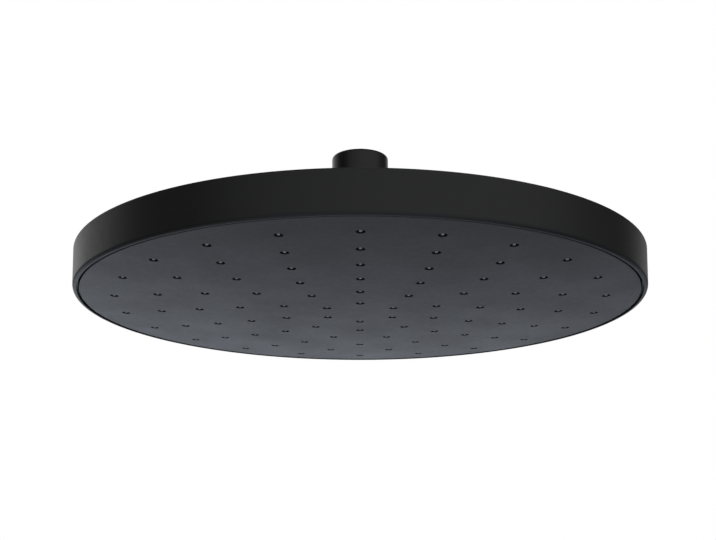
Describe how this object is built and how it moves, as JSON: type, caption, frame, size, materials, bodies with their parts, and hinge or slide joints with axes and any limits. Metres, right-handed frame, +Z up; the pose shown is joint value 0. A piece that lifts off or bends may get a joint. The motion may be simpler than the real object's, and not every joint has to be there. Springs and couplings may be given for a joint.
{
  "type": "rain shower head",
  "caption": "Wide shallow round overhead shower head with a domed spray face of soft nozzles, hanging on a swivel ball connector with a female pipe thread.",
  "frame": {"origin": "centre of the inlet's mouth, where the supply pipe enters the collar", "axes": "+Z up the supply pipe, out of the inlet; the spray leaves towards -Z; -Y is the front, where each ring of nozzles starts"},
  "size_m": [0.251, 0.251, 0.0731],
  "materials": {
    "housing_black": "satin",
    "face_black": "satin",
    "nozzle_silicone": "soft satin",
    "chamber_plastic": "moulded",
    "seal_rubber": "matt",
    "screw_steel": "bright",
    "seat_plastic": "smooth",
    "nut_black": "satin",
    "connector_black": "black coated, satin",
    "regulator_plastic": "moulded",
    "mesh_steel": "woven wire",
    "washer_rubber": "matt"
  },
  "bodies": {
    "connector": {"ball_connector": "connector_black", "flow_regulator": "regulator_plastic", "regulator_ring": "seal_rubber", "filter_mesh": "mesh_steel", "filter_washer": "washer_rubber"},
    "seat": {"lower_ball_seat": "seat_plastic", "ball_seal": "seal_rubber", "upper_ball_seat": "seat_plastic"},
    "head": {"rear_housing": "housing_black", "face_plate": "face_black", "nozzle_mat": "nozzle_silicone", "chamber_cover": "chamber_plastic", "chamber_seal": "seal_rubber", "chamber_screws": "screw_steel", "seat_gasket": "seal_rubber", "ball_nut": "nut_black"}
  },
  "joints": [
    {"name": "head_tilt", "type": "hinge", "parent": "connector", "child": "seat", "pos_m": [0, 0, -0.03318], "axis": [1, 0, 0], "range_deg": [-15, 15]},
    {"name": "head_turn", "type": "hinge", "parent": "seat", "child": "head", "pos_m": [0, 0, -0.03318], "axis": [0, 0, 1], "continuous": true}
  ]
}
